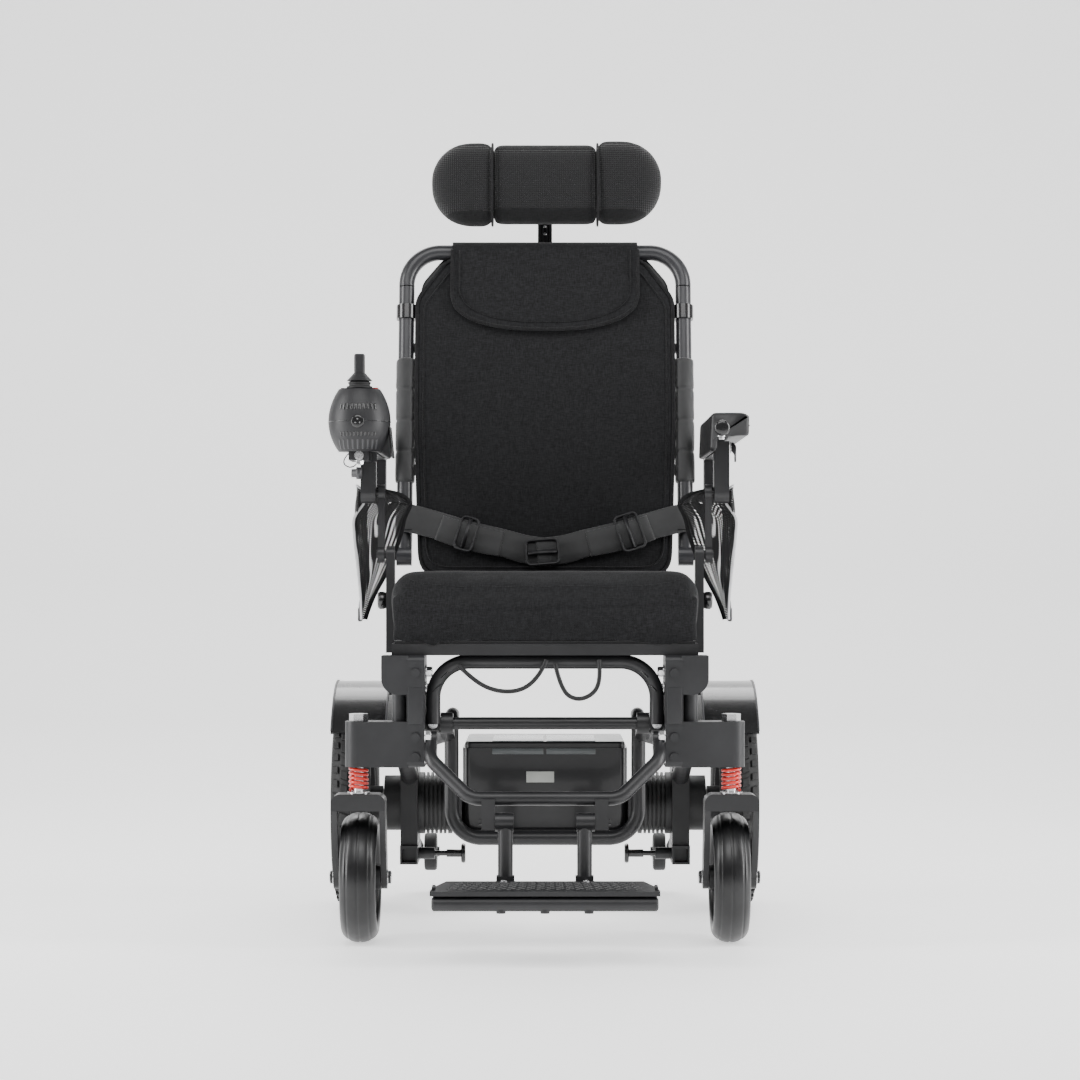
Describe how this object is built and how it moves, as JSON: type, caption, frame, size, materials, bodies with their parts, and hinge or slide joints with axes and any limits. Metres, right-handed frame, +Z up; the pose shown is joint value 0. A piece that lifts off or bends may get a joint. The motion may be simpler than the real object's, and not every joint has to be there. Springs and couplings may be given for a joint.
{
  "type": "power wheelchair",
  "caption": "Folding power wheelchair with a reclining fabric back, headrest, level armrests, joystick, sprung front casters, driven rear wheels and a flip-up footplate.",
  "frame": {"origin": "on the floor, at the centre of the footprint of the whole chair", "axes": "+Z up, the chair faces -Y, +X to the right seen from the front (the sitter's left)"},
  "size_m": [0.64, 0.96, 1.1788],
  "materials": {
    "frame_black": "satin powder coat",
    "tube_grey": "satin dark grey powder coat",
    "gloss_black": "gloss",
    "cushion_fabric": "woven, matte",
    "spacer_mesh": "knitted spacer mesh",
    "bag_mesh": "open mesh with a light grey edge",
    "webbing": "ribbed webbing",
    "cable": "satin",
    "bright_steel": "plated",
    "spring_red": "gloss",
    "caster_rubber": "smooth, slightly glossy",
    "drive_rubber": "matte",
    "rim_black": "satin",
    "motor_case": "satin",
    "battery_plastic": "semi-gloss",
    "lever_red": "matte",
    "matte_plastic": "matte",
    "pad_vinyl": "soft moulded vinyl",
    "button_red": "matte"
  },
  "bodies": {
    "chassis": {"front_legs": "frame_black", "cross_tube": "tube_grey", "seat_frame": "frame_black", "seat_cushion": "cushion_fabric", "chassis_bolts": "bright_steel", "cables": "cable", "caster_spring_left": "spring_red", "caster_spring_right": "spring_red"},
    "rear_frame": {"rear_side_frames": "frame_black", "battery_cradle": "frame_black", "battery_case": "battery_plastic", "motors": "motor_case", "fenders": "gloss_black", "anti_tip_arms": "frame_black"},
    "back": {"back_frame": "tube_grey", "back_panel": "cushion_fabric", "back_straps": "cushion_fabric", "back_collars": "gloss_black", "lap_belt": "webbing"},
    "back_top": {"back_top_frame": "tube_grey", "back_flap": "cushion_fabric"},
    "head_post": {"headrest_post": "matte_plastic"},
    "headrest": {"headrest_pillow": "spacer_mesh"},
    "gimbal": {"joystick_gimbal": "matte_plastic"},
    "stick": {"joystick": "matte_plastic"},
    "horn": {"horn_button": "button_red"},
    "rocker": {"speed_rocker": "matte_plastic"},
    "hanger": {"footrest_hanger": "frame_black"},
    "foot_rest": {"footrest_legs": "frame_black", "footplate": "matte_plastic"},
    "arm_right": {"arm_frame_right": "frame_black", "mesh_bag_right": "bag_mesh"},
    "arm_top_right": {"arm_tube_right": "tube_grey", "arm_pad_right": "pad_vinyl"},
    "link_right": {"arm_link_right": "frame_black"},
    "arm_left": {"arm_frame_left": "frame_black", "mesh_bag_left": "bag_mesh"},
    "arm_top_left": {"arm_tube_left": "tube_grey", "arm_pad_left": "pad_vinyl", "controller_shell": "matte_plastic", "controller_base": "frame_black"},
    "link_left": {"arm_link_left": "frame_black"},
    "caster_slide_right": {"caster_stem_right": "bright_steel"},
    "caster_swivel_right": {"caster_fork_right": "frame_black"},
    "caster_wheel_right": {"caster_tyre_right": "caster_rubber", "caster_rim_right": "gloss_black"},
    "caster_slide_left": {"caster_stem_left": "bright_steel"},
    "caster_swivel_left": {"caster_fork_left": "frame_black"},
    "caster_wheel_left": {"caster_tyre_left": "caster_rubber", "caster_rim_left": "gloss_black"},
    "rear_wheel_right": {"rear_tyre_right": "drive_rubber", "rear_rim_right": "rim_black"},
    "clutch_right": {"clutch_lever_right": "lever_red"},
    "tip_wheel_right": {"anti_tip_wheel_right": "matte_plastic"},
    "pin_right": {"pull_pin_right": "matte_plastic"},
    "rear_wheel_left": {"rear_tyre_left": "drive_rubber", "rear_rim_left": "rim_black"},
    "clutch_left": {"clutch_lever_left": "lever_red"},
    "tip_wheel_left": {"anti_tip_wheel_left": "matte_plastic"},
    "pin_left": {"pull_pin_left": "matte_plastic"}
  },
  "joints": [
    {"name": "rear_frame_fold", "type": "hinge", "parent": "chassis", "child": "rear_frame", "pos_m": [0, -0.215, 0.303], "axis": [-1, 0, 0], "range_deg": [0, 45]},
    {"name": "back_recline", "type": "hinge", "parent": "chassis", "child": "back", "pos_m": [0, 0.16, 0.537], "axis": [-1, 0, 0], "range_deg": [-75, 60]},
    {"name": "back_top_fold", "type": "hinge", "parent": "back", "child": "back_top", "pos_m": [0, 0.26381, 0.94841], "axis": [-1, 0, 0], "range_deg": [0, 135]},
    {"name": "headrest_height", "type": "slide", "parent": "back_top", "child": "head_post", "axis": [0, 0.2079, 0.9781], "range_m": [0, 0.025]},
    {"name": "headrest_tilt", "type": "hinge", "parent": "head_post", "child": "headrest", "pos_m": [0, 0.29636, 1.1112], "axis": [-1, 0, 0], "range_deg": [-12, 12]},
    {"name": "arm_level_right", "type": "hinge", "parent": "back", "child": "arm_right", "pos_m": [0.248, 0.17871, 0.62503], "axis": [-1, 0, 0], "range_deg": [-60, 75]},
    {"name": "arm_link_turn_right", "type": "hinge", "parent": "chassis", "child": "link_right", "pos_m": [0.232, -0.11, 0.537], "axis": [-1, 0, 0], "range_deg": [-75, 60]},
    {"name": "armrest_flip_right", "type": "hinge", "parent": "arm_right", "child": "arm_top_right", "pos_m": [0.248, 0.17, 0.714], "axis": [-1, 0, 0], "range_deg": [0, 80]},
    {"name": "arm_level_left", "type": "hinge", "parent": "back", "child": "arm_left", "pos_m": [-0.248, 0.17871, 0.62503], "axis": [-1, 0, 0], "range_deg": [-60, 75]},
    {"name": "arm_link_turn_left", "type": "hinge", "parent": "chassis", "child": "link_left", "pos_m": [-0.232, -0.11, 0.537], "axis": [-1, 0, 0], "range_deg": [-75, 60]},
    {"name": "armrest_flip_left", "type": "hinge", "parent": "arm_left", "child": "arm_top_left", "pos_m": [-0.248, 0.17, 0.714], "axis": [-1, 0, 0], "range_deg": [0, 80]},
    {"name": "caster_suspension_right", "type": "slide", "parent": "chassis", "child": "caster_slide_right", "axis": [0, 0, 1], "range_m": [0, 0.012], "stiffness_N_per_m": 15000, "springref_m": -0.02, "deforming": ["caster_spring_right"]},
    {"name": "caster_swivel_turn_right", "type": "hinge", "parent": "caster_slide_right", "child": "caster_swivel_right", "pos_m": [0.255, -0.254, 0.209], "axis": [0, 0, 1], "continuous": true},
    {"name": "caster_wheel_spin_right", "type": "hinge", "parent": "caster_swivel_right", "child": "caster_wheel_right", "pos_m": [0.255, -0.212, 0.09], "axis": [1, 0, 0], "continuous": true},
    {"name": "caster_suspension_left", "type": "slide", "parent": "chassis", "child": "caster_slide_left", "axis": [0, 0, 1], "range_m": [0, 0.012], "stiffness_N_per_m": 15000, "springref_m": -0.02, "deforming": ["caster_spring_left"]},
    {"name": "caster_swivel_turn_left", "type": "hinge", "parent": "caster_slide_left", "child": "caster_swivel_left", "pos_m": [-0.255, -0.254, 0.209], "axis": [0, 0, 1], "continuous": true},
    {"name": "caster_wheel_spin_left", "type": "hinge", "parent": "caster_swivel_left", "child": "caster_wheel_left", "pos_m": [-0.255, -0.212, 0.09], "axis": [1, 0, 0], "continuous": true},
    {"name": "rear_wheel_spin_right", "type": "hinge", "parent": "rear_frame", "child": "rear_wheel_right", "pos_m": [0.29, 0.22, 0.159], "axis": [1, 0, 0], "continuous": true},
    {"name": "clutch_lever_turn_right", "type": "hinge", "parent": "rear_frame", "child": "clutch_right", "pos_m": [0.138, 0.22, 0.159], "axis": [-1, 0, 0], "range_deg": [0, 60]},
    {"name": "anti_tip_wheel_spin_right", "type": "hinge", "parent": "rear_frame", "child": "tip_wheel_right", "pos_m": [0.184, 0.45, 0.062], "axis": [1, 0, 0], "continuous": true},
    {"name": "pull_pin_draw_right", "type": "slide", "parent": "rear_frame", "child": "pin_right", "axis": [-1, 0, 0], "range_m": [0, 0.012], "stiffness_N_per_m": 900, "springref_m": -0.005},
    {"name": "rear_wheel_spin_left", "type": "hinge", "parent": "rear_frame", "child": "rear_wheel_left", "pos_m": [-0.29, 0.22, 0.159], "axis": [1, 0, 0], "continuous": true},
    {"name": "clutch_lever_turn_left", "type": "hinge", "parent": "rear_frame", "child": "clutch_left", "pos_m": [-0.138, 0.22, 0.159], "axis": [-1, 0, 0], "range_deg": [0, 60]},
    {"name": "anti_tip_wheel_spin_left", "type": "hinge", "parent": "rear_frame", "child": "tip_wheel_left", "pos_m": [-0.184, 0.45, 0.062], "axis": [1, 0, 0], "continuous": true},
    {"name": "pull_pin_draw_left", "type": "slide", "parent": "rear_frame", "child": "pin_left", "axis": [1, 0, 0], "range_m": [0, 0.012], "stiffness_N_per_m": 900, "springref_m": -0.005},
    {"name": "joystick_pitch", "type": "hinge", "parent": "arm_top_left", "child": "gimbal", "pos_m": [-0.259, -0.175, 0.75], "axis": [1, 0, 0], "range_deg": [-18, 18], "stiffness_Nm_per_rad": 0.4},
    {"name": "joystick_roll", "type": "hinge", "parent": "gimbal", "child": "stick", "pos_m": [-0.259, -0.175, 0.75], "axis": [0, 1, 0], "range_deg": [-18, 18], "stiffness_Nm_per_rad": 0.4},
    {"name": "horn_press", "type": "slide", "parent": "arm_top_left", "child": "horn", "axis": [0, 0, -1], "range_m": [0, 0.002], "stiffness_N_per_m": 400, "springref_m": -0.001},
    {"name": "speed_rock", "type": "hinge", "parent": "arm_top_left", "child": "rocker", "pos_m": [-0.281, -0.175, 0.7648], "axis": [1, 0, 0], "range_deg": [-8, 8], "stiffness_Nm_per_rad": 0.05},
    {"name": "footrest_swing", "type": "hinge", "parent": "chassis", "child": "hanger", "pos_m": [0, -0.266, 0.283], "axis": [-1, 0, 0], "range_deg": [0, 40]},
    {"name": "footplate_flip", "type": "hinge", "parent": "hanger", "child": "foot_rest", "pos_m": [0, -0.34, 0.177], "axis": [-1, 0, 0], "range_deg": [0, 95]}
  ],
  "couplings": [
    {"joint": "arm_level_right", "follows": "back_recline", "ratio": -1},
    {"joint": "arm_link_turn_right", "follows": "back_recline", "ratio": 1},
    {"joint": "arm_level_left", "follows": "back_recline", "ratio": -1},
    {"joint": "arm_link_turn_left", "follows": "back_recline", "ratio": 1}
  ]
}
